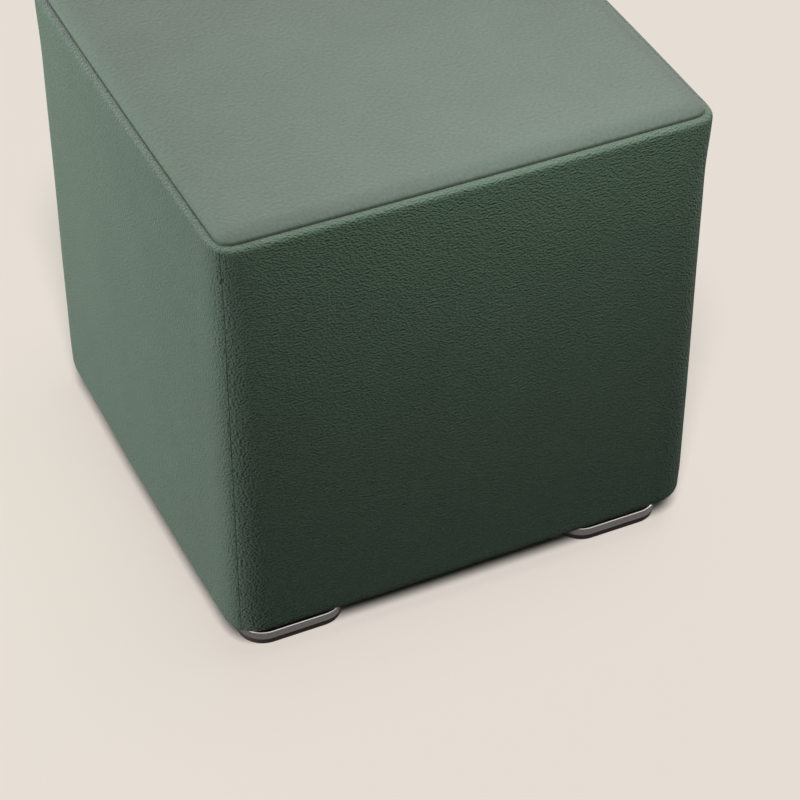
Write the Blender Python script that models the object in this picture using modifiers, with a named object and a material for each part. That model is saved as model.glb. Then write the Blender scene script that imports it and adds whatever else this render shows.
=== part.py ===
"""Cube pouf stool: a firm filled cube in a sewn cloth cover, standing on four low metal feet.

Metres, +Z up. The floor is z = 0, the origin is under the middle of the cube and the front faces -Y.
Every cloth surface is a grid bent around the cube: its columns run along a side, from one corner
seam to the next, and its rows follow the cube's profile from the hem, up the side, to the top.
"""

from collections import namedtuple
from math import cos, pi, radians, sin

import bmesh
import bpy
from mathutils import Matrix, Vector

# The cube
HALF_WIDTH = 0.225
HALF_DEPTH = 0.220
TOP = 0.450  # height of the top's edge above the floor
UNDERSIDE = 0.028  # height of the underside
TOP_ROLL = 0.0075  # radius of the cloth's roll from the side to the top
BOTTOM_ROLL = 0.011  # radius of the cloth's roll from the side to the underside
CROWN = 0.003  # how far the filling lifts the middle of the top
SIDE_CROWN = 0.0008  # how far the filling pushes out the middle of a side
EDGE_BULGE = 0.0010  # how far a side's upper and lower edges bow outwards at their middles
CORNER_RADII = (  # height, radius of the upright corners there: the sewn top corners stand out as ears
    (0.028, 0.031),
    (0.060, 0.029),
    (0.390, 0.028),
    (0.425, 0.023),
    (0.450, 0.021),
)
INNER_CORNER = 0.05  # least corner radius of an inner ring, as a share of its half depth

# The cover
CLOTH = 0.0025  # thickness
TOP_SEAM = 0.008  # how far in from the side the top panel is sewn on
HEM = 0.030  # how far in from the side the turned-under hem ends
SEAM_GAP = 0.0004  # between the two cloths of a seam
SEAM_DIP = 0.0007  # how deep a seam draws its cloths in
FILLING_DIP = 0.0010  # and the filling under it
UNDER_CLOTH = 0.0004  # between the cover and the filled body

# The feet
FOOT_WIDTH = 0.098
FOOT_CORNER = 0.0235  # corner radius
FOOT_INSET_X = 0.0173  # from the cube's side to the foot's
FOOT_INSET_Y = 0.0157
PLATE_TOP = 0.0142  # height of the metal plate's top
PAD_HEIGHT = 0.005
PAD_RECESS = 0.0006  # how far the pad's edge stands back from the plate's
SPACER_WIDTH = 0.070  # the block between the plate and the cube, hidden in its shadow
PLATE_CHAMFER = 0.001
PAD_CHAMFER = 0.0004
PART_GAP = 0.0003  # between a foot's pieces, and between its spacer and the cube

# The meshes' steps
CORNER_STEPS = 4  # from a side to the corner's middle
FACE_STEPS = 6  # along a side between its corners
ROLL_STEPS = 3  # over each rolled edge
WALL_HEIGHTS = (0.065, 0.135, 0.220, 0.305, 0.375, 0.405, 0.425)
TOP_INSETS = (0.0105, 0.025, 0.060, 0.110, 0.165, HALF_DEPTH)  # rings of the top, out to in
ROLL_END = radians(80)  # how far the roll over the top edge turns before the seam draws it in
FOOT_CORNER_STEPS = 6
SAME_POINT = 1e-6
CLOTH_CREASE = radians(50)  # cloth is shaded sharp where it turns by more than this
FOOT_CREASE = radians(30)
RIM_TURN = radians(60)  # a foot's edges that turn by more than this are chamfered

SIDES = ("front", "right", "back", "left")  # counterclockwise from above
CORNERS = {  # foot: its sign along X and along Y
    "front_left": (-1, -1),
    "front_right": (1, -1),
    "back_right": (1, 1),
    "back_left": (-1, 1),
}

# One row of a bent grid: distance in from the side, height, tilt of the outward normal above level,
# and whether the top seam draws it in
Station = namedtuple("Station", "inset height tilt sewn", defaults=(False,))


def interpolate(table, value):
    """The second column of a table of two columns at a value of its first, held at both ends."""
    if value <= table[0][0]:
        return table[0][1]
    for (low, first), (high, second) in zip(table, table[1:]):
        if value <= high:
            return first + (second - first) * (value - low) / (high - low)
    return table[-1][1]


def side_columns():
    """Columns of one side: -2 and 2 at the corners' middles, -1 to 1 along the straight face."""
    corner = [1 + step / CORNER_STEPS for step in range(1, CORNER_STEPS + 1)]
    face = [-1 + 2 * step / FACE_STEPS for step in range(FACE_STEPS + 1)]
    return [-column for column in reversed(corner)] + face + corner


def side_stations():
    """Rows of a side panel, from its hem's inner edge to the top seam."""
    stations = [Station(HEM, UNDERSIDE, -pi / 2), Station(BOTTOM_ROLL, UNDERSIDE, -pi / 2)]
    for step in range(1, ROLL_STEPS + 1):
        turn = pi / 2 * step / ROLL_STEPS
        inset = BOTTOM_ROLL * (1 - sin(turn))
        height = UNDERSIDE + BOTTOM_ROLL * (1 - cos(turn))
        stations.append(Station(inset, height, turn - pi / 2))
    for height in WALL_HEIGHTS:
        stations.append(Station(0.0, height, 0.0))
    for step in range(ROLL_STEPS + 1):
        turn = ROLL_END * step / ROLL_STEPS
        inset = TOP_ROLL * (1 - cos(turn))
        height = TOP - TOP_ROLL * (1 - sin(turn))
        stations.append(Station(inset, height, turn))
    stations.append(Station(TOP_SEAM, TOP, pi / 2, sewn=True))
    return stations


def top_stations():
    """Rows of the top panel inside the top seam, out to in."""
    return [Station(inset, TOP, pi / 2) for inset in TOP_INSETS]


def bulge(height):
    """How far the middle of a side stands out at a height."""
    share = (height - UNDERSIDE) / (TOP - UNDERSIDE)
    return EDGE_BULGE + SIDE_CROWN * 4 * share * (1 - share)


def crown(point):
    """How far the top is lifted at a point seen from above."""
    across = max(0.0, 1 - (point.x / (HALF_WIDTH - TOP_INSETS[0])) ** 2)
    along = max(0.0, 1 - (point.y / (HALF_DEPTH - TOP_INSETS[0])) ** 2)
    return CROWN * across * along


def side_point(turn, column, station, depth=0.0, dip=SEAM_DIP, gap=0.0):
    """A point of one side, depth inside the cover's outer surface and gap clear of the corner seams.

    The side is worked out as if it were the front one, then turned by quarter turns to its place.
    Dip is how deep the seams draw it in.
    """
    inset = station.inset + depth * cos(station.tilt)
    height = station.height - depth * sin(station.tilt)
    half_across, half_away = (HALF_WIDTH, HALF_DEPTH) if turn % 2 == 0 else (HALF_DEPTH, HALF_WIDTH)
    least_radius = INNER_CORNER * (HALF_DEPTH - inset)
    radius = max(interpolate(CORNER_RADII, height) - inset, least_radius)
    across = half_across - inset - radius
    away = half_away - inset - radius
    side = -1 if column < 0 else 1
    if abs(column) <= 1:
        bow = bulge(height) * (1 - column**2) * (1 - inset / HALF_DEPTH)
        point = Vector((across * column, -away - radius - bow, height))
    else:
        arc = (abs(column) - 1) * pi / 4
        point = Vector((side * (across + radius * sin(arc)), -away - radius * cos(arc), height))
    if abs(column) == 2:
        inwards = Vector((-side, 1, 0)).normalized()
        clear = Vector((-side, -1, 0)).normalized()
        point += inwards * dip * cos(station.tilt) + clear * gap
    point.rotate(Matrix.Rotation(turn * pi / 2, 3, "Z"))
    if station.tilt == pi / 2:
        point.z += crown(point) - dip * station.sewn
    return point


def bent_grid(columns, rows, place):
    """A grid with its vertices moved to place(column, row)."""
    mesh = bmesh.new()
    across, along = len(columns) - 1, len(rows) - 1
    bmesh.ops.create_grid(mesh, x_segments=across, y_segments=along, size=1)
    for vertex in mesh.verts:
        column = columns[round((vertex.co.x + 1) / 2 * across)]
        row = rows[round((vertex.co.y + 1) / 2 * along)]
        vertex.co = place(column, row)
    return mesh


def ring_grid(stations, depth=0.0, dip=SEAM_DIP):
    """A bent grid right around the cube, closed where its first and last columns meet."""
    columns = [(turn, column) for turn in range(4) for column in side_columns()[:-1]]
    columns.append(columns[0])
    mesh = bent_grid(
        columns,
        stations,
        lambda column, station: side_point(*column, station, depth, dip),
    )
    bmesh.ops.remove_doubles(mesh, verts=mesh.verts, dist=SAME_POINT)
    return mesh


def add_object(name, mesh, material, collection):
    """An object in the part's collection, from a bmesh."""
    data = bpy.data.meshes.new(name)
    mesh.to_mesh(data)
    mesh.free()
    data.materials.append(material)
    piece = bpy.data.objects.new(name, data)
    collection.objects.link(piece)
    return piece


def shade(data, crease):
    """Smooth shading, with sharp edges where the surface turns by more than an angle."""
    data.shade_smooth()
    data.set_sharp_from_angle(angle=crease)


def thicken(piece):
    """Give a cloth surface its thickness, inwards."""
    solidify = piece.modifiers.new("cloth", "SOLIDIFY")
    solidify.thickness = CLOTH
    solidify.offset = -1
    solidify.use_even_offset = True


def add_side_panel(turn, side, material, collection):
    """The cloth of one side, from the hem under the cube, up the side and over to the top seam."""
    mesh = bent_grid(
        side_columns(),
        side_stations(),
        lambda column, station: side_point(turn, column, station, gap=SEAM_GAP / 2),
    )
    panel = add_object(f"{side}_panel", mesh, material, collection)
    shade(panel.data, CLOTH_CREASE)
    thicken(panel)


def add_top_panel(material, collection):
    """The top's cloth, sewn on just inside the top edge."""
    edge = Station(TOP_SEAM + SEAM_GAP, TOP, pi / 2, sewn=True)
    panel = add_object("top_panel", ring_grid([edge] + top_stations()), material, collection)
    shade(panel.data, CLOTH_CREASE)
    thicken(panel)


def add_filled_body(material, collection):
    """The firm filling under the cover, flat underneath between the hems."""
    depth = CLOTH + UNDER_CLOTH
    hem_end = HEM + UNDER_CLOTH
    underside = [
        Station(hem_end, UNDERSIDE - depth, -pi / 2),
        Station(hem_end, UNDERSIDE, -pi / 2),
    ]
    stations = underside + side_stations()[1:] + top_stations()
    mesh = ring_grid(stations, depth, FILLING_DIP)
    bmesh.ops.holes_fill(mesh, edges=[edge for edge in mesh.edges if edge.is_boundary], sides=0)
    bmesh.ops.recalc_face_normals(mesh, faces=mesh.faces)
    body = add_object("filled_body", mesh, material, collection)
    shade(body.data, CLOTH_CREASE)


def add_slab(name, place, width, low, high, chamfer, material, collection):
    """A square slab with round corners and chamfered rims, between two heights."""
    mesh = bmesh.new()
    bmesh.ops.create_cube(mesh, size=1)
    bmesh.ops.scale(mesh, vec=(width, width, high - low), verts=mesh.verts)
    uprights = [edge for edge in mesh.edges if edge.verts[0].co.xy == edge.verts[1].co.xy]
    corner = FOOT_CORNER * width / FOOT_WIDTH
    bmesh.ops.bevel(
        mesh,
        geom=uprights,
        offset=corner,
        offset_type="OFFSET",
        segments=FOOT_CORNER_STEPS,
        profile=0.5,
        affect="EDGES",
    )
    piece = add_object(name, mesh, material, collection)
    piece.location = (*place, (low + high) / 2)
    shade(piece.data, FOOT_CREASE)
    rims = piece.modifiers.new("rims", "BEVEL")
    rims.width = chamfer
    rims.segments = 1
    rims.limit_method = "ANGLE"
    rims.angle_limit = RIM_TURN


def add_foot(corner, place, metal, rubber, plastic, collection):
    """A metal plate near a corner, on a pad and under a spacer that carries the cube."""
    pad_width = FOOT_WIDTH - 2 * PAD_RECESS
    plate_low = PAD_HEIGHT + PART_GAP
    spacer_low = PLATE_TOP + PART_GAP
    spacer_high = UNDERSIDE - PART_GAP
    slabs = (  # name, width, low, high, chamfer, material
        ("foot_pad", pad_width, 0.0, PAD_HEIGHT, PAD_CHAMFER, rubber),
        ("foot_plate", FOOT_WIDTH, plate_low, PLATE_TOP, PLATE_CHAMFER, metal),
        ("foot_spacer", SPACER_WIDTH, spacer_low, spacer_high, PAD_CHAMFER, plastic),
    )
    for name, width, low, high, chamfer, material in slabs:
        add_slab(f"{name}_{corner}", place, width, low, high, chamfer, material, collection)


def make_material(name, color, roughness, metallic=0.0):
    """A Principled material with a linear colour."""
    material = bpy.data.materials.new(name)
    material.use_nodes = True
    principled = material.node_tree.nodes["Principled BSDF"]
    principled.inputs["Base Color"].default_value = (*color, 1.0)
    principled.inputs["Roughness"].default_value = roughness
    principled.inputs["Metallic"].default_value = metallic
    material.diffuse_color = (*color, 1.0)
    return material


def main():
    for old in list(bpy.data.objects):
        bpy.data.objects.remove(old)
    collection = bpy.data.collections.new("cube_pouf_stool")
    bpy.context.scene.collection.children.link(collection)
    cloth = make_material("cover_cloth", (0.075, 0.115, 0.083), 0.9)
    filling = make_material("filling", (0.030, 0.034, 0.031), 0.95)
    metal = make_material("satin_metal", (0.42, 0.42, 0.43), 0.35, metallic=1.0)
    rubber = make_material("dark_pad", (0.018, 0.014, 0.012), 0.7)
    plastic = make_material("black_spacer", (0.012, 0.012, 0.012), 0.6)
    add_filled_body(filling, collection)
    for turn, side in enumerate(SIDES):
        add_side_panel(turn, side, cloth, collection)
    add_top_panel(cloth, collection)
    foot_x = HALF_WIDTH - FOOT_INSET_X - FOOT_WIDTH / 2
    foot_y = HALF_DEPTH - FOOT_INSET_Y - FOOT_WIDTH / 2
    for corner, (right, back) in CORNERS.items():
        place = (right * foot_x, back * foot_y)
        add_foot(corner, place, metal, rubber, plastic, collection)


main()
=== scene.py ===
"""Looks of the cube pouf stool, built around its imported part.

Metres, +Z up, and the front faces -Y. The cover's cloths are fine sheets bent around the cube along
the part's own profile: from the hem under the cube, up the side and over the edge to the top seam.
At a seam both cloths fold down into it, and short thread stitches hold them together there.
"""

from collections import namedtuple
from math import atan2, cos, exp, hypot, log, pi, radians, sin, sqrt

import bmesh
import bpy
from mathutils import Matrix, Vector, noise


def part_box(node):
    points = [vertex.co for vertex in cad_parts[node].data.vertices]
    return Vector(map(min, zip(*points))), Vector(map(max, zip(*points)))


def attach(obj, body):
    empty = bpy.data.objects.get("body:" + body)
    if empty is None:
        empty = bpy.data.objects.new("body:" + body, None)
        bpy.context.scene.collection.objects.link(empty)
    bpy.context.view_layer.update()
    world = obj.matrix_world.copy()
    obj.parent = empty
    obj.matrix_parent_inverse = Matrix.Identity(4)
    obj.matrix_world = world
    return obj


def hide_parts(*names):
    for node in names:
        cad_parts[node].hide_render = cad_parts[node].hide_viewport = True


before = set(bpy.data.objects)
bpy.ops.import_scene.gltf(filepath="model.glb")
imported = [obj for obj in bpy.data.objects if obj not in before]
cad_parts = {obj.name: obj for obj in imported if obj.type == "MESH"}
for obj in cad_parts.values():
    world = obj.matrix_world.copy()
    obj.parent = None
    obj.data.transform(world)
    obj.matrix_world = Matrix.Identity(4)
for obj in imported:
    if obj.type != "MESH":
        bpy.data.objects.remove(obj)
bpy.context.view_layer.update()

# The cube
HALF_WIDTH = 0.225
HALF_DEPTH = 0.220
TOP = 0.450  # height of the top's edge
UNDERSIDE = 0.028  # height of the cube's bottom above the floor
TOP_ROLL = 0.0042  # radius of the roll from a side to the top
BOTTOM_ROLL = 0.011  # and from a side to the underside
CORNER = 0.028  # radius of the upright corners
TOP_CORNER = 0.021  # and at the top, where the sewn corners stand out as ears
BOTTOM_CORNER = 0.031  # and at the bottom
TOP_CORNER_REACH = 0.065  # how far down the corner narrows towards the top
BOTTOM_CORNER_REACH = 0.040  # how far up it widens towards the bottom
INNER_CORNER = 0.05  # least corner radius of an inner ring, as a share of its half depth
SOFT_CORNER = 1.75  # how much further than its radius an upright corner's bend reaches
SOFT_ROLL = 1.6  # the same for the roll from a side to the top
CURVE_STEPS = 48  # of the curve that a soft bend is worked out from
SEAM_STEP = 0.0029  # how much higher than the side's cloth the top's cloth is at their seam
CROWN = 0.0078  # how far the filling lifts the top above the side's cloth
CROWN_REACH = 0.016  # within this distance from the seam
CROWN_POWER = 2.26  # how steep it rises at the seam and how gently it levels out
DOME = 0.0006  # how much higher the middle lies
SIDE_CROWN = 0.0008  # how far the middle of a side stands out past its top and bottom edges
EDGE_BULGE = 0.0010  # and how far the middle of these edges stands out past the corners

# The cover
CLOTH = 0.0022  # its thickness
HEM = 0.030  # how far in from the side the turned-under hem ends
TOP_SEAM = 0.0074  # how far in from the side the top panel is sewn on
SEAM_GAP = 0.00012  # between the two cloths of a seam
TOP_FOLD = 0.0010  # radius at which the top's cloth folds down into its seam
EDGE_FOLD = 0.0002  # and a side's cloth
UPRIGHT_FOLD = 0.0005  # and both cloths of an upright seam
TUCK = 0.0004  # how far a cloth goes down past its fold
SEAM_PULL = 0.00020  # how far the thread draws a seam in
SEAM_PULL_REACH = 0.004  # away from it
GATHER = 0.00008  # height of the small gathers beside a seam
GATHER_LENGTH = 0.011  # along the seam
GATHER_REACH = 0.028  # away from it
WAVER = 0.0003  # slow unevenness of the filling under the cloth
WAVER_LENGTH = 0.11
UPRIGHT_SEED = 0.5  # plus a side's number: which gathers lie beside its upright seams
EDGE_SEED = 4.5  # beside the top seam, on the side's cloth
TOP_SEED = 8.5  # and on the top's cloth
UNDER_CLOTH = 0.0004  # between the cover and the filled cube

# Steps of the fine meshes
FACE_STEP = 0.0042  # on the flat of a cloth
EDGE_STEP = 0.0016  # near its seams
FOLD_STEPS = 5
CORNER_STEPS = 20
ROLL_STEPS = 12
BODY_STEP = 0.012  # on the filled cube
BODY_SHARP = 40  # degrees between two faces past which their edge is shaded sharp
MERGE = 1e-6  # distance within which corners of a mesh are one

# The stitches
STITCH_PITCH = 0.0035
STITCH_LENGTH = 0.0013  # across the seam
THREAD = 0.00042  # thickness
THREAD_SIDES = 8
THREAD_SHARP = 50  # degrees
STITCH_DEPTH = 0.0008  # below the cloth

# The feet
FOOT_CORNER = 0.0235  # corner radius of plate and pad
FOOT_CORNER_STEPS = 14
PLATE_CHAMFER = 0.0007
PAD_CHAMFER = 0.0005
RIM_TURN = 60  # degrees: only a slab's rims, of all its edges, turn by more
SOFT_EDGE = 0.00014  # how far each edge of the chamfers is softened
SOFT_EDGE_STEPS = 2
CHAMFER_TURN = 30  # degrees: only a chamfer's edges turn by more
CHAMFER_RISE = (0.4, 0.9)  # Z of its normal, on the upper rim, whose faces get the painted highlight
FOOT_SHARP = 35  # degrees

SIDES = ("front", "right", "back", "left")  # counterclockwise from above
CORNERS = ("front_left", "front_right", "back_right", "back_left")

# A row of a cloth: distance in from the side, height, tilt of the outward normal above level, and how
# far it lies below the surface in the fold of a seam
Row = namedtuple("Row", "inset height tilt down", defaults=(0.0,))
# A column of a side's cloth. Corner is -1, 0 or 1: the left corner, the face or the right corner.
# Share is -1 to 1 along the face, and 0 to 1 from the face to the fold around a corner. In the fold
# the distance from the seam is given instead.
Column = namedtuple("Column", "corner share distance down", defaults=(0.0,))


def smooth_step(value):
    """0 below 0, 1 above 1 and an S between them."""
    value = min(max(value, 0.0), 1.0)
    return value * value * (3 - 2 * value)


def spaced(start, end, step):
    """Even values from start to end, both included, about a step apart."""
    count = max(1, round(abs(end - start) / step))
    return [start + (end - start) * index / count for index in range(count + 1)]


def soft_bend(softness):
    """Half a right-angled bend that tightens steadily: rows of length, x, y and turn of the normal.

    It starts at x = 0, y = 1 and ends in the bend's middle, at x = y. Softness is how much further
    it reaches than an arc that passes through the same middle.
    """
    power = log(2) / -log(1 - (1 - sqrt(0.5)) / softness)
    bend = [(0.0, 0.0, 1.0, 0.0)]
    for step in range(1, CURVE_STEPS + 1):
        angle = pi / 4 * (step / CURVE_STEPS) ** (power / 2)
        x, y = sin(angle) ** (2 / power), cos(angle) ** (2 / power)
        length = bend[-1][0] + hypot(x - bend[-1][1], y - bend[-1][2])
        bend.append((length, x, y, atan2(x ** (power - 1), y ** (power - 1))))
    return bend


def along_bend(bend, value, column=0):
    """The row of a bend at which its length, or its x for column 1, has a value."""
    for before, after in zip(bend, bend[1:]):
        if value <= after[column]:
            break
    share = (value - before[column]) / (after[column] - before[column])
    return tuple(low + (high - low) * min(share, 1.0) for low, high in zip(before, after))


CORNER_BEND = soft_bend(SOFT_CORNER)
ROLL_BEND = soft_bend(SOFT_ROLL)


def seam_fold(radius, tuck=TUCK):
    """Distance from the seam and depth of a cloth that folds down into it, from the surface down."""
    fold = []
    for step in range(1, FOLD_STEPS + 1):
        turn = pi / 2 * step / FOLD_STEPS
        fold.append((SEAM_GAP / 2 + radius * (1 - sin(turn)), radius * (1 - cos(turn))))
    fold.append((SEAM_GAP / 2, radius + tuck))
    return fold


def side_columns():
    """Columns of one side, from one corner seam to the next."""
    fold = reversed(seam_fold(UPRIGHT_FOLD))
    half = [Column(1, None, distance, down) for distance, down in fold]
    half += [Column(1, step / CORNER_STEPS, None) for step in range(CORNER_STEPS, 0, -1)]
    face = [Column(0, share, None) for share in spaced(-1.0, 1.0, FACE_STEP / HALF_WIDTH)]
    left = [column._replace(corner=-1) for column in half]
    return left + face + list(reversed(half))


def side_rows():
    """Rows of a side's cloth, from the hem's inner edge to the fold of the top seam."""
    rows = [Row(inset, UNDERSIDE, -pi / 2) for inset in spaced(HEM, BOTTOM_ROLL, 2 * EDGE_STEP)]
    for step in range(1, ROLL_STEPS + 1):
        turn = pi / 2 * step / ROLL_STEPS
        inset = BOTTOM_ROLL * (1 - sin(turn))
        height = UNDERSIDE + BOTTOM_ROLL * (1 - cos(turn))
        rows.append(Row(inset, height, turn - pi / 2))
    reach = SOFT_ROLL * TOP_ROLL
    wall = spaced(UNDERSIDE + BOTTOM_ROLL, TOP - reach, FACE_STEP)
    rows += [Row(0.0, height, 0.0) for height in wall[1:-1]]
    length = ROLL_BEND[-1][0]
    for step in range(ROLL_STEPS + 1):
        _, x, y, turn = along_bend(ROLL_BEND, length * step / ROLL_STEPS)
        rows.append(Row(reach * (1 - y), TOP - reach * (1 - x), turn))
    flat_start = TOP_SEAM - SEAM_GAP / 2 - EDGE_FOLD
    for inset in spaced(rows[-1].inset, flat_start, EDGE_STEP / 2)[1:]:
        rows.append(Row(inset, *roll_height(inset)))
    for distance, down in seam_fold(EDGE_FOLD):
        rows.append(Row(TOP_SEAM - distance, *roll_height(TOP_SEAM - distance), down))
    return rows


def roll_height(inset):
    """Height and tilt of the roll from a side to the top, on its upper half."""
    reach = SOFT_ROLL * TOP_ROLL
    _, _, y, turn = along_bend(ROLL_BEND, max(0.0, 1 - inset / reach), column=1)
    return TOP - reach * (1 - y), pi / 2 - turn


def top_rows():
    """Rows of the top's cloth beside its seam, from the bottom of the fold inwards."""
    fold = reversed(seam_fold(TOP_FOLD, TUCK + SEAM_STEP))
    rows = [Row(TOP_SEAM + distance, TOP, pi / 2, down) for distance, down in fold]
    first = TOP_SEAM + SEAM_GAP / 2 + TOP_FOLD
    insets = spaced(first, TOP_SEAM + CROWN_REACH + EDGE_STEP, EDGE_STEP)
    rows += [Row(inset, TOP, pi / 2) for inset in insets[1:]]
    return rows


def corner_radius(height):
    """Radius of the upright corners at a height."""
    towards_top = smooth_step(1 - (TOP - height) / TOP_CORNER_REACH)
    towards_bottom = smooth_step(1 - (height - UNDERSIDE) / BOTTOM_CORNER_REACH)
    return CORNER + (TOP_CORNER - CORNER) * towards_top + (BOTTOM_CORNER - CORNER) * towards_bottom


def crown(point, inset):
    """How far the top is lifted at a point of the ring that lies an inset in from the sides."""
    rise = 1 - max(0.0, 1 - (inset - TOP_SEAM) / CROWN_REACH) ** CROWN_POWER
    dome = (1 - (point.x / HALF_WIDTH) ** 2) * (1 - (point.y / HALF_DEPTH) ** 2)
    return SEAM_STEP + rise * (CROWN - SEAM_STEP + DOME * dome)


def bulge(height):
    """How far the middle of a side stands out at a height."""
    share = (height - UNDERSIDE) / (TOP - UNDERSIDE)
    return EDGE_BULGE + SIDE_CROWN * 4 * share * (1 - share)


def seam_effect(along, distance, seed):
    """How far the surface lies below its smooth form beside a seam: drawn in by it, and gathered."""
    pull = SEAM_PULL * exp(-distance / SEAM_PULL_REACH)
    where = Vector((along / GATHER_LENGTH, distance / GATHER_REACH, seed))
    fade = exp(-distance / GATHER_REACH) * (1 - exp(-distance / SEAM_PULL_REACH))
    return pull + GATHER * noise.noise(where) * fade


def waver(point):
    """Slow unevenness of the surface at a point."""
    return WAVER * noise.noise(point / WAVER_LENGTH)


def tilted(level, tilt):
    """A level direction, raised by a tilt."""
    return level * cos(tilt) + Vector((0, 0, 1)) * sin(tilt)


def ring_point(turn, share, row, depth=0.0):
    """A point of the cube's form, its level outward direction and how far it is from the corner seam.

    Share is the place along one side, from -1 at one corner's middle to 1 at the next. A column of
    a side's cloth may be given instead. Depth is how far inside the cover's outer surface it lies.
    """
    inset = row.inset + depth * cos(row.tilt)
    height = row.height - depth * sin(row.tilt)
    half_across, half_away = (HALF_WIDTH, HALF_DEPTH) if turn % 2 == 0 else (HALF_DEPTH, HALF_WIDTH)
    radius = max(corner_radius(height) - inset, INNER_CORNER * (HALF_DEPTH - inset), 0.0)
    reach = SOFT_CORNER * radius
    across = half_across - inset - reach
    away = half_away - inset - reach
    bend_length = reach * CORNER_BEND[-1][0]
    if isinstance(share, Column):
        along, side = column_place(share, across, bend_length)
    else:
        side = -1 if share < 0 else 1
        along = abs(share) * (across + bend_length)
    if along <= across:
        middle = 1 - (along / across) ** 2 if across else 0.0
        bow = bulge(height) * middle * (1 - inset / HALF_DEPTH)
        point = Vector((side * along, -away - reach - bow, height))
        outwards = Vector((0, -1, 0))
    else:
        _, x, y, tilt = along_bend(CORNER_BEND, (along - across) / reach)
        point = Vector((side * (across + reach * x), -away - reach * y, height))
        outwards = Vector((side * sin(tilt), -cos(tilt), 0))
    spin = Matrix.Rotation(turn * pi / 2, 3, "Z")
    return spin @ point, spin @ outwards, across + bend_length - along


def column_place(column, across, bend_length):
    """Distance of a column from the side's middle, and which half of the side it is in."""
    if column.corner == 0:
        return abs(column.share) * across, -1 if column.share < 0 else 1
    if column.distance is not None:
        return across + bend_length - column.distance, column.corner
    first = UPRIGHT_FOLD + SEAM_GAP / 2
    return across + (bend_length - first) * column.share, column.corner


def side_cloth_point(turn, column, row):
    """A point of a side's cloth."""
    point, level, from_seam = ring_point(turn, column, row)
    down = row.down + column.down - waver(point)
    if row.tilt > -pi / 2:
        down += seam_effect(row.height, from_seam, turn + UPRIGHT_SEED)
        along = point.dot(Vector((-level.y, level.x, 0)))
        from_top_seam = (TOP - row.height) + (TOP_SEAM - row.inset)
        down += seam_effect(along, from_top_seam, turn + EDGE_SEED)
    return point - tilted(level, row.tilt) * down


def add_object(name, data):
    """An object in the scene."""
    piece = bpy.data.objects.new(name, data)
    bpy.context.scene.collection.objects.link(piece)
    return piece


def as_data(mesh, name):
    """A finished bmesh as mesh data."""
    data = bpy.data.meshes.new(name)
    mesh.to_mesh(data)
    mesh.free()
    return data


def cloth_grid(name, columns, rows, place, across, along):
    """A cloth as a grid of quads, with the flat cloth's own coordinates as its pattern map."""
    mesh = bmesh.new()
    last_column, last_row = len(columns) - 1, len(rows) - 1
    bmesh.ops.create_grid(mesh, x_segments=last_column, y_segments=last_row, size=1)
    pattern = mesh.loops.layers.uv.new("pattern")
    for vertex in mesh.verts:
        column = round((vertex.co.x + 1) / 2 * last_column)
        row = round((vertex.co.y + 1) / 2 * last_row)
        for loop in vertex.link_loops:
            loop[pattern].uv = (across[column], along[row])
        vertex.co = place(columns[column], rows[row])
    piece = add_object(name, as_data(mesh, name))
    piece.data.shade_smooth()
    return piece


def distances(points):
    """Running distance along a list of points."""
    total = [0.0]
    for before, after in zip(points, points[1:]):
        total.append(total[-1] + (after - before).length)
    return total


def thicken(piece):
    """Give a cloth its thickness, inwards."""
    solidify = piece.modifiers.new("cloth", "SOLIDIFY")
    solidify.thickness = CLOTH
    solidify.offset = -1


def make_side_cloth(turn, side, material):
    """The cloth of one side."""
    columns = side_columns()
    rows = side_rows()

    def place(column, row):
        return side_cloth_point(turn, column, row)

    middle_row = rows[len(rows) // 2]
    middle_column = columns[len(columns) // 2]
    across = distances([place(column, middle_row) for column in columns])
    along = distances([place(middle_column, row) for row in rows])
    piece = cloth_grid(f"{side}_cloth", columns, rows, place, across, along)
    piece.data.materials.append(material)
    thicken(piece)
    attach(piece, "root")
    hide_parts(f"{side}_panel")


def top_cloth_lines(half, rows):
    """Places of the top cloth's grid lines along one axis, from one edge to the other."""
    edge = [half - row.inset for row in rows]
    inner = spaced(-edge[-1], edge[-1], FACE_STEP)
    return [-place for place in edge] + inner[1:-1] + list(reversed(edge))


def make_top_cloth(material):
    """The cloth of the top: a square grid whose outer lines follow the rounded outline."""
    rows = top_rows()
    x_lines = top_cloth_lines(HALF_WIDTH, rows)
    y_lines = top_cloth_lines(HALF_DEPTH, rows)

    def place(x_line, y_line):
        (x_index, x), (y_index, y) = x_line, y_line
        ring = min(x_index, len(x_lines) - 1 - x_index, y_index, len(y_lines) - 1 - y_index)
        inset = min(HALF_WIDTH - abs(x), HALF_DEPTH - abs(y))
        row = rows[ring] if ring < len(rows) else Row(inset, TOP, pi / 2)
        if HALF_DEPTH - abs(y) <= HALF_WIDTH - abs(x):
            turn = 0 if y < 0 else 2
            reach, place_along = HALF_WIDTH - inset, x if y < 0 else -x
        else:
            turn = 1 if x > 0 else 3
            reach, place_along = HALF_DEPTH - inset, y if x > 0 else -y
        share = place_along / reach if reach else 0.0
        point, _, _ = ring_point(turn, max(-1.0, min(1.0, share)), row)
        down = row.down - waver(point)
        down += seam_effect(place_along, row.inset - TOP_SEAM, turn + TOP_SEED)
        return Vector((point.x, point.y, TOP + crown(point, row.inset) - down))

    numbered = list(enumerate(x_lines)), list(enumerate(y_lines))
    piece = cloth_grid("top_cloth", *numbered, place, x_lines, y_lines)
    piece.data.materials.append(material)
    thicken(piece)
    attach(piece, "root")
    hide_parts("top_panel")
    return piece


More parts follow.
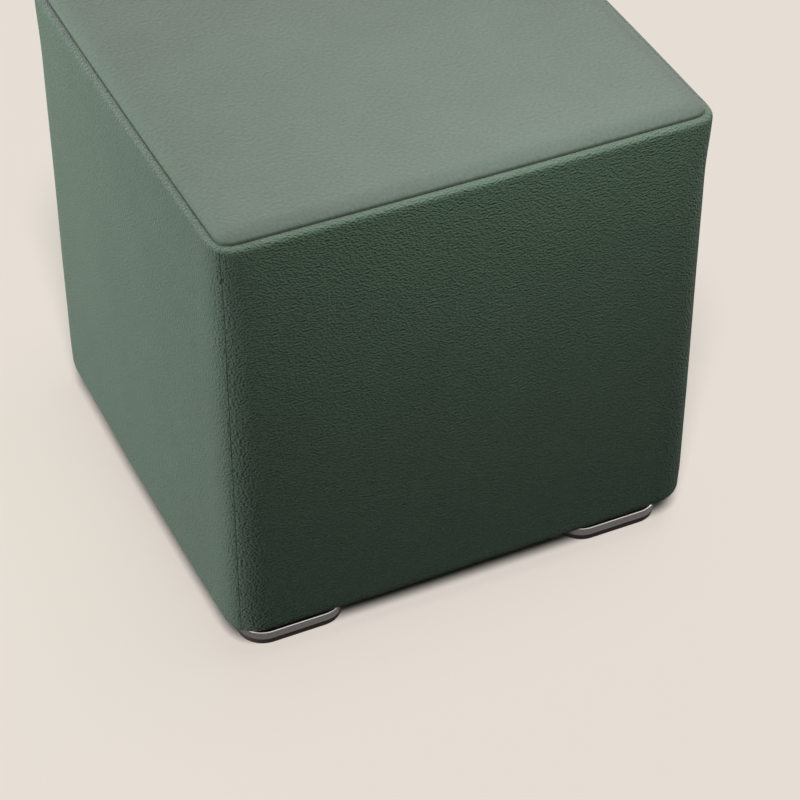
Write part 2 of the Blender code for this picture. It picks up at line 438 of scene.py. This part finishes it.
def make_filled_cube(material):
    """The filled cube under the cover. Only its underside shows, between the hems."""
    depth = CLOTH + UNDER_CLOTH
    rows = [
        Row(HEM + UNDER_CLOTH, UNDERSIDE - depth, -pi / 2),
        Row(HEM + UNDER_CLOTH, UNDERSIDE, -pi / 2),
    ]
    rows += [row for row in side_rows() if row.inset < HEM and not row.down][::2]
    inner = spaced(TOP_SEAM + TOP_FOLD, HALF_DEPTH, BODY_STEP)
    rows += [Row(inset, TOP, pi / 2) for inset in inner]
    shares = spaced(-1.0, 1.0, BODY_STEP / HALF_DEPTH)[:-1]
    ring = [(turn, share) for turn in range(len(SIDES)) for share in shares]
    ring.append(ring[0])

    def place(where, row):
        point, level, from_seam = ring_point(*where, row, depth)
        if row.tilt > -pi / 2:
            seam = min(from_seam, abs(TOP_SEAM - row.inset) + TOP - row.height)
            point -= tilted(level, row.tilt) * (TOP_FOLD + TUCK) * exp(-seam / SEAM_PULL_REACH)
        if row.tilt == pi / 2:
            point.z += crown(point, row.inset)
        return point

    piece = cloth_grid("filled_cube", ring, rows, place, range(len(ring)), range(len(rows)))
    mesh = bmesh.new()
    mesh.from_mesh(piece.data)
    bmesh.ops.remove_doubles(mesh, verts=mesh.verts, dist=MERGE)
    bmesh.ops.holes_fill(mesh, edges=[edge for edge in mesh.edges if edge.is_boundary], sides=0)
    bmesh.ops.recalc_face_normals(mesh, faces=mesh.faces)
    mesh.to_mesh(piece.data)
    mesh.free()
    piece.data.set_sharp_from_angle(angle=radians(BODY_SHARP))
    piece.data.materials.append(material)
    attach(piece, "root")
    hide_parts("filled_body")


def add_node(tree, kind, inputs=(), **settings):
    """Add a node to a tree, set it, and give its inputs values or other nodes' outputs."""
    node = tree.nodes.new(kind)
    for name, value in settings.items():
        setattr(node, name, value)
    for socket, value in dict(inputs).items():
        if isinstance(value, bpy.types.NodeSocket):
            tree.links.new(value, node.inputs[socket])
        else:
            node.inputs[socket].default_value = value
    return node


def seam_paths():
    """Polylines along the bottom of each seam, and whether they close: around the top, and upright."""
    depth = STITCH_DEPTH + SEAM_PULL
    around = []
    row = Row(TOP_SEAM, TOP, pi / 2)
    for turn in range(len(SIDES)):
        for share in spaced(-1.0, 1.0, EDGE_STEP * 2 / HALF_WIDTH)[:-1]:
            point, _, _ = ring_point(turn, share, row)
            around.append(point - Vector((0, 0, depth)))
    paths = [(around, True)]
    for turn in range(len(SIDES)):
        upright = []
        for row in side_rows():
            if row.down or row.inset > BOTTOM_ROLL:
                continue
            point, level, _ = ring_point(turn, 1.0, row)
            upright.append(point - tilted(level, row.tilt) * depth)
        paths.append((upright, False))
    return paths


def stitch_tree(material):
    """Geometry nodes that lay a short thread across a path at every stitch."""
    tree = bpy.data.node_groups.new("stitches", "GeometryNodeTree")
    tree.interface.new_socket("Geometry", in_out="INPUT", socket_type="NodeSocketGeometry")
    for name in ("Pitch", "Length", "Thickness"):
        tree.interface.new_socket(name, in_out="INPUT", socket_type="NodeSocketFloat")
    tree.interface.new_socket("Geometry", in_out="OUTPUT", socket_type="NodeSocketGeometry")

    def node(kind, inputs=(), **settings):
        return add_node(tree, kind, inputs, **settings)

    given = node("NodeGroupInput").outputs
    points = node(
        "GeometryNodeCurveToPoints",
        {"Curve": given["Geometry"], "Length": given["Pitch"]},
        mode="LENGTH",
    )
    half = node("ShaderNodeMath", {0: given["Thickness"], 1: 0.5}, operation="MULTIPLY")
    thread = node(
        "GeometryNodeMeshCylinder",
        {"Vertices": THREAD_SIDES, "Radius": half.outputs[0], "Depth": given["Length"]},
    )
    lying = node(
        "GeometryNodeTransform",
        {"Geometry": thread.outputs["Mesh"], "Rotation": (pi / 2, 0, 0)},
    )
    placed = node(
        "GeometryNodeInstanceOnPoints",
        {
            "Points": points.outputs["Points"],
            "Instance": lying.outputs["Geometry"],
            "Rotation": points.outputs["Rotation"],
        },
    )
    real = node("GeometryNodeRealizeInstances", {"Geometry": placed.outputs["Instances"]})
    painted = node(
        "GeometryNodeSetMaterial",
        {"Geometry": real.outputs["Geometry"], "Material": material},
    )
    node("NodeGroupOutput", {"Geometry": painted.outputs["Geometry"]})
    return tree


def make_stitches(material):
    """The thread of all the seams, as one piece."""
    curve = bpy.data.curves.new("seam_paths", "CURVE")
    curve.dimensions = "3D"
    for points, closed in seam_paths():
        spline = curve.splines.new("POLY")
        spline.points.add(len(points) - 1)
        for spot, point in zip(spline.points, points):
            spot.co = (*point, 1)
        spline.use_cyclic_u = closed
    path = add_object("seam_paths", curve)
    modifier = path.modifiers.new("stitches", "NODES")
    modifier.node_group = stitch_tree(material)
    sizes = {"Pitch": STITCH_PITCH, "Length": STITCH_LENGTH, "Thickness": THREAD}
    for item in modifier.node_group.interface.items_tree:
        if item.in_out == "INPUT" and item.name in sizes:
            modifier[item.identifier] = sizes[item.name]
    evaluated = path.evaluated_get(bpy.context.evaluated_depsgraph_get())
    data = bpy.data.meshes.new_from_object(evaluated)
    data.name = "seam_stitches"
    data.shade_smooth()
    data.set_sharp_from_angle(angle=radians(THREAD_SHARP))
    bpy.data.objects.remove(path)
    piece = add_object("seam_stitches", data)
    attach(piece, "root")


def bevel(mesh, edges, offset, segments):
    """Cut or round some edges of a mesh."""
    bmesh.ops.bevel(
        mesh,
        geom=edges,
        offset=offset,
        offset_type="OFFSET",
        segments=segments,
        profile=0.5,
        affect="EDGES",
    )


def turning_edges(mesh, least_turn):
    """Edges at which a mesh's surface turns by more than some degrees."""
    return [edge for edge in mesh.edges if edge.calc_face_angle() > radians(least_turn)]


def make_slab(name, low, high, chamfer, material, rim):
    """A square slab with round corners and chamfered rims, whose edges are a little soft.

    The upper rim's chamfer gets the second material, a near-white copy of the metal that paints a
    highlight line along it.
    """
    mesh = bmesh.new()
    bmesh.ops.create_cube(mesh, size=1)
    bmesh.ops.scale(mesh, vec=high - low, verts=mesh.verts)
    bmesh.ops.translate(mesh, vec=(low + high) / 2, verts=mesh.verts)
    uprights = [edge for edge in mesh.edges if edge.verts[0].co.xy == edge.verts[1].co.xy]
    bevel(mesh, uprights, FOOT_CORNER, FOOT_CORNER_STEPS)
    bevel(mesh, turning_edges(mesh, RIM_TURN), chamfer, 1)
    bevel(mesh, turning_edges(mesh, CHAMFER_TURN), SOFT_EDGE, SOFT_EDGE_STEPS)
    data = as_data(mesh, name)
    data.shade_smooth()
    data.set_sharp_from_angle(angle=radians(FOOT_SHARP))
    for finish in (material, rim):
        data.materials.append(finish)
    # faces of the upper chamfer get the painted highlight
    least_rise, most_rise = CHAMFER_RISE
    for face in data.polygons:
        if least_rise < face.normal.z < most_rise:
            face.material_index = 1
    return add_object(name, data)


def make_feet(metal, bright, rubber, plastic):
    """Each foot's plate and pad, and the finish of its spacer."""
    for corner in CORNERS:
        for part, chamfer, material, rim, slot in (
            # the plate's upper rim takes the painted highlight metal
            ("plate", PLATE_CHAMFER, metal, bright, "satin_metal"),
            ("pad", PAD_CHAMFER, rubber, rubber, "dark_pad"),
        ):
            node = f"foot_{part}_{corner}"
            piece = make_slab(f"{part}_{corner}", *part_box(node), chamfer, material, rim)
            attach(piece, "root")
            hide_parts(node)
        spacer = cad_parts[f"foot_spacer_{corner}"]
        spacer.data.materials.clear()
        spacer.data.materials.append(plastic)


# Materials


class Shader:
    """A material's node tree, with short calls to add and link its nodes."""

    def __init__(self, name):
        self.material = bpy.data.materials.new(name)
        self.material.use_nodes = True
        self.tree = self.material.node_tree
        self.principled = self.tree.nodes["Principled BSDF"]

    def set(self, **values):
        """Set sockets of the Principled shader; an underscore stands for a space."""
        for name, value in values.items():
            self.principled.inputs[name.replace("_", " ")].default_value = value

    def node(self, kind, inputs=(), **settings):
        """Add a shader node, as add_node does."""
        return add_node(self.tree, f"ShaderNode{kind}", inputs, **settings)

    def link(self, output, socket):
        """Feed an output to a socket of the Principled shader."""
        self.tree.links.new(output, self.principled.inputs[socket])

    def place(self):
        """The place on the piece, in its own metres."""
        return self.node("TexCoord").outputs["Object"]

    def noise(self, where, scale, detail=2.0, roughness=0.5, distortion=0.0):
        """A noise field's factor at a place."""
        node = self.node(
            "TexNoise",
            {
                "Vector": where,
                "Scale": scale,
                "Detail": detail,
                "Roughness": roughness,
                "Distortion": distortion,
            },
        )
        return node.outputs["Fac"]

    def stretched(self, where, scale):
        """A place scaled unevenly, which stretches a pattern."""
        node = self.node("Mapping", {"Vector": where, "Scale": scale})
        return node.outputs["Vector"]

    def span(self, factor, low, high, least=0.0, most=1.0):
        """A number that goes from least to most as a factor goes from low to high."""
        node = self.node(
            "MapRange",
            {"Value": factor, "From Min": low, "From Max": high, "To Min": least, "To Max": most},
        )
        return node.outputs["Result"]

    def paint(self, factor, low, high, colours):
        """Colour the surface from the first to the last colour as a factor goes from low to high."""
        self.link(self.ramp(factor, low, high, colours), "Base Color")

    def ramp(self, factor, low, high, colours):
        """A colour that goes from the first to the last as a factor goes from low to high."""
        share = self.span(factor, low, high)
        mix = self.node("Mix", {0: share, 6: colours[0], 7: colours[1]}, data_type="RGBA")
        return mix.outputs[2]

    def shade(self, colour, factor, low, high, least, most):
        """A colour multiplied by least to most as a factor goes from low to high."""
        share = self.span(factor, low, high, least, most)
        scaled = self.node("VectorMath", {0: colour, "Scale": share}, operation="SCALE")
        return scaled.outputs["Vector"]

    def add(self, first, second, share):
        """First plus a share of second."""
        node = self.node("Math", {0: second, 1: share, 2: first}, operation="MULTIPLY_ADD")
        return node.outputs["Value"]

    def relief(self, height, distance):
        """Bump the surface by a height field of 0 to 1."""
        node = self.node("Bump", {"Height": height, "Distance": distance})
        self.link(node.outputs["Normal"], "Normal")


# Each finish's darkest and lightest colour
NAP = ((0.113, 0.169, 0.1275, 1), (0.125, 0.187, 0.141, 1))
BOTTOM = ((0.020, 0.023, 0.021, 1), (0.042, 0.047, 0.043, 1))
SATIN = ((0.140, 0.140, 0.146, 1), (0.172, 0.172, 0.178, 1))
# Rim: a painted highlight, near-white steel that makes the plates' chamfer show a light line
RIM_HIGHLIGHT_PAINT = ((0.86, 0.89, 0.92, 1), (0.94, 0.96, 0.98, 1))
RUBBER = ((0.030, 0.024, 0.020, 1), (0.050, 0.041, 0.035, 1))
PLASTIC = ((0.010, 0.010, 0.010, 1), (0.016, 0.016, 0.016, 1))
SEWING = ((0.024, 0.040, 0.030, 1), (0.044, 0.070, 0.052, 1))

# Heights of the reliefs, in metres
SIDE_PEBBLES = 0.0023
TOP_PEBBLES = 0.0006  # smoothed by sitting
BOTTOM_WEB = 0.0003
BRUSHING = 0.00004
PITS = 0.0001  # of the rubber, and of the plastic's grain

# Stretch of the nap's pebbles: under 1 is longer, across and along the cloth
SIDE_STRETCH = (0.80, 1.0, 1.0)
TOP_STRETCH = (0.62, 0.55, 1.0)
BRUSH_STRETCH = (1.0, 1.0, 14.0)  # brushed level


def short_nap_cloth(name, stretch, relief):
    """Sage green cloth with a short felted nap: small wavy pebbles, finer fibres and a soft sheen."""
    cloth = Shader(name)
    where = cloth.node("UVMap", uv_map="pattern").outputs["UV"]
    pebbles = cloth.noise(
        cloth.stretched(where, stretch), 560.0, detail=0.4, roughness=0.5, distortion=0.15
    )
    fibres = cloth.noise(where, 1500.0, detail=2.0, roughness=0.6)
    patches = cloth.noise(where, 14.0, detail=3.0, roughness=0.6)
    height = cloth.add(pebbles, fibres, share=0.04)
    colour = cloth.ramp(height, 0.32, 0.72, NAP)
    shaded = cloth.shade(colour, patches, 0.3, 0.7, least=0.965, most=1.035)
    cloth.link(shaded, "Base Color")
    cloth.relief(height, relief)
    cloth.set(
        Roughness=0.95,
        Specular_IOR_Level=0.05,
        Sheen_Weight=0.3,
        Sheen_Roughness=0.45,
        Sheen_Tint=(0.90, 0.90, 0.90, 1),
    )
    return cloth.material


def dark_bottom_cloth():
    """The plain dark cloth-like bottom of the filled cube: a fine web of pressed fibres."""
    bottom = Shader("dark_bottom_cloth")
    web = bottom.noise(bottom.place(), 900.0, detail=3.0, roughness=0.6, distortion=0.4)
    bottom.paint(web, 0.35, 0.65, BOTTOM)
    bottom.relief(web, BOTTOM_WEB)
    bottom.set(Roughness=0.95, Specular_IOR_Level=0.2)
    return bottom.material


def satin_metal():
    """Satin steel with faint fine brushing and a little unevenness of its gloss."""
    metal = Shader("satin_metal")
    where = metal.place()
    brushing = metal.noise(metal.stretched(where, BRUSH_STRETCH), 260.0, detail=3.0, roughness=0.6)
    clouds = metal.noise(where, 60.0, detail=2.0, roughness=0.5)
    metal.paint(brushing, 0.3, 0.7, SATIN)
    metal.link(metal.span(clouds, 0.3, 0.7, least=0.28, most=0.36), "Roughness")
    metal.relief(brushing, BRUSHING)
    metal.set(Metallic=1.0)
    return metal.material


def painted_rim_highlight():
    """A painted highlight for the plates' chamfered rim: a near-white copy of the steel, so the rim
    shows a light line.
    """
    metal = Shader("painted_rim_highlight")
    highlight_mottle = metal.noise(metal.place(), 220.0, detail=3.0, roughness=0.6)
    metal.paint(highlight_mottle, 0.3, 0.7, RIM_HIGHLIGHT_PAINT)
    metal.link(metal.span(highlight_mottle, 0.3, 0.7, least=0.24, most=0.34), "Roughness")
    metal.set(Metallic=1.0)
    return metal.material


def dark_rubber():
    """Near black, slightly brown rubber with a fine pitted skin."""
    rubber = Shader("dark_rubber")
    pits = rubber.noise(rubber.place(), 1400.0, detail=2.0, roughness=0.6)
    rubber.paint(pits, 0.3, 0.7, RUBBER)
    rubber.relief(pits, PITS)
    rubber.set(Roughness=0.75, Specular_IOR_Level=0.35)
    return rubber.material


def black_plastic():
    """Matt black moulded plastic."""
    plastic = Shader("black_plastic")
    grain = plastic.noise(plastic.place(), 700.0, detail=2.0, roughness=0.5)
    plastic.paint(grain, 0.3, 0.7, PLASTIC)
    plastic.relief(grain, PITS)
    plastic.set(Roughness=0.7)
    return plastic.material


def sewing_thread():
    """Dark green twisted thread."""
    thread = Shader("sewing_thread")
    strands = thread.noise(thread.place(), 3000.0, detail=1.0, roughness=0.5)
    thread.paint(strands, 0.3, 0.7, SEWING)
    thread.set(Roughness=0.8)
    return thread.material


# The studio

CAMERA_PLACE = (-0.8132, -1.8217, 1.7396)
CAMERA_AZIMUTH = -24.95  # degrees; at 0 it looks along +Y
CAMERA_ELEVATION = 40.13
CAMERA_ROLL = -0.09
CAMERA_LENS = 124.7  # mm
CAMERA_SENSOR = 36.0  # mm
CAMERA_SIGHT = 100.0  # how far it sees
FLOOR_REACH = 14.0
FLOOR_COLOUR = (0.808, 0.740, 0.679, 1)
WHITE = (1.0, 1.0, 1.0)

SUNS = (  # name, azimuth it comes from, elevation, width in degrees, strength, colour
    ("left", -90.0, 8.0, 40.0, 2.26, (1.01, 1.0, 1.00)),
    ("right", 90.0, 10.0, 24.0, 0.79, WHITE),
    ("back", 180.0, 10.0, 24.0, 0.79, WHITE),
)
ABOVE_BOX = ((0.12, 0.35, 1.25), (0.12, 0.35, 0.0), 1.20)  # place, what it points at, size
FRONT_BOX = ((0.10, -0.40, 0.95), (0.05, -0.15, 0.30), 0.40)
SIDE_BOX = ((-0.85, 0.45, 0.45), (-0.225, 0.05, 0.25), 0.60)
SOFTBOXES = (  # name, placing, power, colour
    ("above", ABOVE_BOX, 6.65, (1.51, 1.0, 1.35)),
    ("front", FRONT_BOX, 3.06, (0.88, 1.0, 0.86)),
    ("side", SIDE_BOX, 4.45, (1.01, 1.0, 1.00)),
)
TOP_SOFTBOXES = (  # for the top's cloth in place of the first two, so that it is evenly tinted
    ("above_top", ABOVE_BOX, 6.65, (1.28, 1.0, 1.16)),
    ("front_top", FRONT_BOX, 2.75, (1.21, 1.0, 1.10)),
)
FLOOR_SUNS = (  # for the floor alone
    ("floor", -24.0, 56.0, 18.0, 3.13, WHITE),
    ("floor_halo", 90.0, 80.0, 30.0, 0.42, WHITE),
)
BACKDROP_COLOUR = (0.791, 0.730, 0.665, 1)
DOME_RADIUS = 30.0
DOME_FINENESS = 3
DOME_COLOUR = (0.8, 1, 0.75, 1)
DOME_STRENGTH = 0.055
BLACK = (0, 0, 0, 1)


def direction(azimuth, elevation):
    """Where something at an azimuth and elevation in degrees is seen from the middle; 0 is the front."""
    turn, rise = radians(azimuth), radians(elevation)
    return Vector((sin(turn) * cos(rise), -cos(turn) * cos(rise), sin(rise)))


def add_camera():
    """The camera, at the photograph's angle."""
    back = direction(CAMERA_AZIMUTH, CAMERA_ELEVATION)
    right = Vector((cos(radians(CAMERA_AZIMUTH)), sin(radians(CAMERA_AZIMUTH)), 0))
    up = back.cross(right)
    roll = radians(CAMERA_ROLL)
    x_axis = right * cos(roll) + up * sin(roll)
    y_axis = up * cos(roll) - right * sin(roll)
    turn = Matrix((x_axis, y_axis, back)).transposed()
    data = bpy.data.cameras.new("camera")
    data.lens = CAMERA_LENS
    data.sensor_width = CAMERA_SENSOR
    data.clip_end = CAMERA_SIGHT
    camera = add_object("camera", data)
    camera.matrix_world = Matrix.Translation(CAMERA_PLACE) @ turn.to_4x4()
    bpy.context.scene.camera = camera


def add_floor():
    """The plain pale floor."""
    mesh = bmesh.new()
    bmesh.ops.create_grid(mesh, x_segments=1, y_segments=1, size=FLOOR_REACH)
    floor = add_object("floor", as_data(mesh, "floor"))
    floor.visible_diffuse = False  # no light thrown back up at the dark front
    paint = Shader("pale_floor")
    paint.set(Base_Color=FLOOR_COLOUR, Roughness=1.0, Specular_IOR_Level=0.0)
    floor.data.materials.append(paint.material)
    return floor


def add_light(name, kind, back, strength, colour):
    """A light that shines away from the direction it has at its back."""
    light = add_object(f"light_{name}", bpy.data.lights.new(f"light_{name}", kind))
    light.rotation_euler = back.to_track_quat("Z", "Y").to_euler()
    light.visible_camera = False
    light.data.energy = strength
    light.data.color = colour
    return light


def add_sun(name, azimuth, elevation, width, strength, colour):
    """A distant light as wide as its width in degrees."""
    sun = add_light(name, "SUN", direction(azimuth, elevation), strength, colour)
    sun.data.angle = radians(width)
    return sun


def add_softbox(name, placing, power, colour):
    """A square light that points from its place at its aim."""
    place, aim, size = placing
    softbox = add_light(name, "AREA", Vector(place) - Vector(aim), power, colour)
    softbox.location = place
    softbox.data.shape = "SQUARE"
    softbox.data.size = size
    return softbox


def share_out(name, lights, pieces, state):
    """Let lights shine on some pieces only (INCLUDE), or on all but them (EXCLUDE)."""
    group = bpy.data.collections.new(name)
    for piece in pieces:
        group.objects.link(piece)
    for member in group.collection_objects:
        member.light_linking.link_state = state
    for light in lights:
        light.light_linking.receiver_collection = group


def add_lights(floor, top_cloth):
    """Soft lights on the pouf, two of them for its top alone, and two of the floor's own."""
    above, front, side = [add_softbox(*softbox) for softbox in SOFTBOXES]
    suns = [add_sun(*sun) for sun in SUNS]
    top_softboxes = [add_softbox(*softbox) for softbox in TOP_SOFTBOXES]
    floor_suns = [add_sun(*sun) for sun in FLOOR_SUNS]
    share_out("all_but_floor", [*suns, side], [floor], "EXCLUDE")
    share_out("all_but_floor_and_top", [above, front], [floor, top_cloth], "EXCLUDE")
    share_out("top_only", top_softboxes, [top_cloth], "INCLUDE")
    share_out("floor_only", floor_suns, [floor], "INCLUDE")


def add_surroundings():
    """A pale backdrop all around, and a half dome that lights the pouf dimly from above."""
    world = bpy.data.worlds.new("backdrop")
    world.use_nodes = True
    world.node_tree.nodes["Background"].inputs["Color"].default_value = BACKDROP_COLOUR
    bpy.context.scene.world = world
    world.cycles_visibility.diffuse = False
    bpy.context.scene.view_settings.view_transform = "Standard"
    mesh = bmesh.new()
    bmesh.ops.create_icosphere(mesh, subdivisions=DOME_FINENESS, radius=DOME_RADIUS)
    lower = [face for face in mesh.faces if face.calc_center_median().z < 0]
    bmesh.ops.delete(mesh, geom=lower, context="FACES")
    bmesh.ops.reverse_faces(mesh, faces=mesh.faces)
    dome = add_object("dome", as_data(mesh, "dome"))
    dome.visible_camera = False
    dome.visible_glossy = False
    dome.visible_shadow = False
    glow = Shader("dome_glow")
    glow.set(Base_Color=BLACK, Specular_IOR_Level=0.0)
    glow.set(Emission_Color=DOME_COLOUR, Emission_Strength=DOME_STRENGTH)
    dome.data.materials.append(glow.material)


def main():
    """Make every piece, then the camera, the floor and the lights."""
    side_cloth = short_nap_cloth("side_cloth", SIDE_STRETCH, SIDE_PEBBLES)
    make_filled_cube(dark_bottom_cloth())
    for turn, side in enumerate(SIDES):
        make_side_cloth(turn, side, side_cloth)
    top_cloth = make_top_cloth(short_nap_cloth("top_cloth", TOP_STRETCH, TOP_PEBBLES))
    make_stitches(sewing_thread())
    make_feet(satin_metal(), painted_rim_highlight(), dark_rubber(), black_plastic())
    add_camera()
    add_lights(add_floor(), top_cloth)
    add_surroundings()


main()
